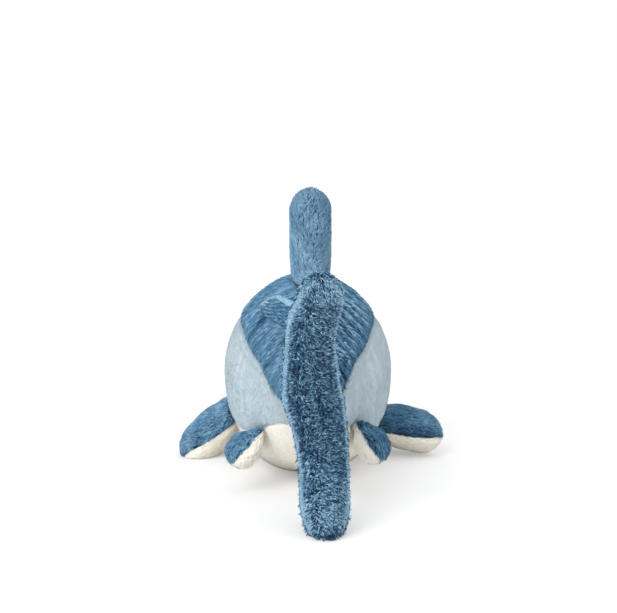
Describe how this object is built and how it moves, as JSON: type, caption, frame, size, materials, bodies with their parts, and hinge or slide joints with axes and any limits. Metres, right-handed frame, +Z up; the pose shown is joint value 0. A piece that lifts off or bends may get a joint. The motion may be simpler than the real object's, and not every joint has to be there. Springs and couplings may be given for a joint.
{
  "type": "plush swordfish",
  "caption": "Stuffed swordfish that lies on its belly, with a long bill, a crescent tail fin and soft back, side and belly fins that flap on their seams.",
  "frame": {"origin": "middle of the flat on which the belly rests, under the widest part of the body", "axes": "+Y from the tail to the bill, +Z up, +X to the fish's right"},
  "size_m": [0.2106, 0.5085, 0.2181],
  "materials": {
    "blue_plush": "short pile plush, matt, with lighter fibre tips",
    "pale_blue_plush": "short pile plush, matt",
    "cream_plush": "short pile plush, matt",
    "fibre_filling": "loose polyester fibre",
    "eye_plastic": "polished black",
    "washer_plastic": "plain moulded white"
  },
  "bodies": {
    "body": {"back_panel": "blue_plush", "side_panel_left": "pale_blue_plush", "side_panel_right": "pale_blue_plush", "belly_panel": "cream_plush", "body_stuffing": "fibre_filling", "eye_left": "eye_plastic", "eye_right": "eye_plastic", "eye_washer_left": "washer_plastic", "eye_washer_right": "washer_plastic", "bill_top_panel": "blue_plush", "bill_under_panel": "cream_plush", "bill_stuffing": "fibre_filling"},
    "tail_fin": {"tail_panel_left": "blue_plush", "tail_panel_right": "blue_plush", "tail_stuffing": "fibre_filling"},
    "dorsal_fin": {"dorsal_panel_left": "blue_plush", "dorsal_panel_right": "blue_plush", "dorsal_stuffing": "fibre_filling"},
    "rear_dorsal_fin": {"rear_dorsal_panel_left": "blue_plush", "rear_dorsal_panel_right": "blue_plush", "rear_dorsal_stuffing": "fibre_filling"},
    "pectoral_fin_left": {"pectoral_left_top_panel": "blue_plush", "pectoral_left_under_panel": "cream_plush", "pectoral_left_stuffing": "fibre_filling"},
    "pectoral_fin_right": {"pectoral_right_top_panel": "blue_plush", "pectoral_right_under_panel": "cream_plush", "pectoral_right_stuffing": "fibre_filling"},
    "pelvic_fin_left": {"pelvic_left_outer_panel": "blue_plush", "pelvic_left_inner_panel": "cream_plush", "pelvic_left_stuffing": "fibre_filling"},
    "pelvic_fin_right": {"pelvic_right_outer_panel": "blue_plush", "pelvic_right_inner_panel": "cream_plush", "pelvic_right_stuffing": "fibre_filling"}
  },
  "joints": [
    {"name": "tail_swing", "type": "hinge", "parent": "body", "child": "tail_fin", "pos_m": [0, -0.14994, 0.0865], "axis": [0, 0, 1], "range_deg": [-30, 30], "stiffness_Nm_per_rad": 0.06},
    {"name": "dorsal_lean", "type": "hinge", "parent": "body", "child": "dorsal_fin", "pos_m": [0.002, 0.00398, 0.1461], "axis": [0, 1, 0], "range_deg": [-10, 10], "stiffness_Nm_per_rad": 0.06},
    {"name": "rear_dorsal_flop", "type": "hinge", "parent": "body", "child": "rear_dorsal_fin", "pos_m": [0, -0.09917, 0.12424], "axis": [0, 0.9401, 0.3408], "range_deg": [-15, 110], "stiffness_Nm_per_rad": 0.06},
    {"name": "pectoral_left_flap", "type": "hinge", "parent": "body", "child": "pectoral_fin_left", "pos_m": [-0.06316, 0.02717, 0.02977], "axis": [0.0434, 0.9986, 0.0307], "range_deg": [0, 35], "stiffness_Nm_per_rad": 0.06},
    {"name": "pectoral_right_flap", "type": "hinge", "parent": "body", "child": "pectoral_fin_right", "pos_m": [0.05973, 0.02717, 0.02347], "axis": [0.041, -0.9985, -0.0351], "range_deg": [-2, 28], "stiffness_Nm_per_rad": 0.06},
    {"name": "pelvic_left_flap", "type": "hinge", "parent": "body", "child": "pelvic_fin_left", "pos_m": [-0.03914, -0.09037, 0.03862], "axis": [-0.3031, 0.8611, -0.4082], "range_deg": [-8, 50], "stiffness_Nm_per_rad": 0.06},
    {"name": "pelvic_right_flap", "type": "hinge", "parent": "body", "child": "pelvic_fin_right", "pos_m": [0.04146, -0.09029, 0.04421], "axis": [-0.3247, -0.8711, 0.3684], "range_deg": [-5, 50], "stiffness_Nm_per_rad": 0.06}
  ]
}
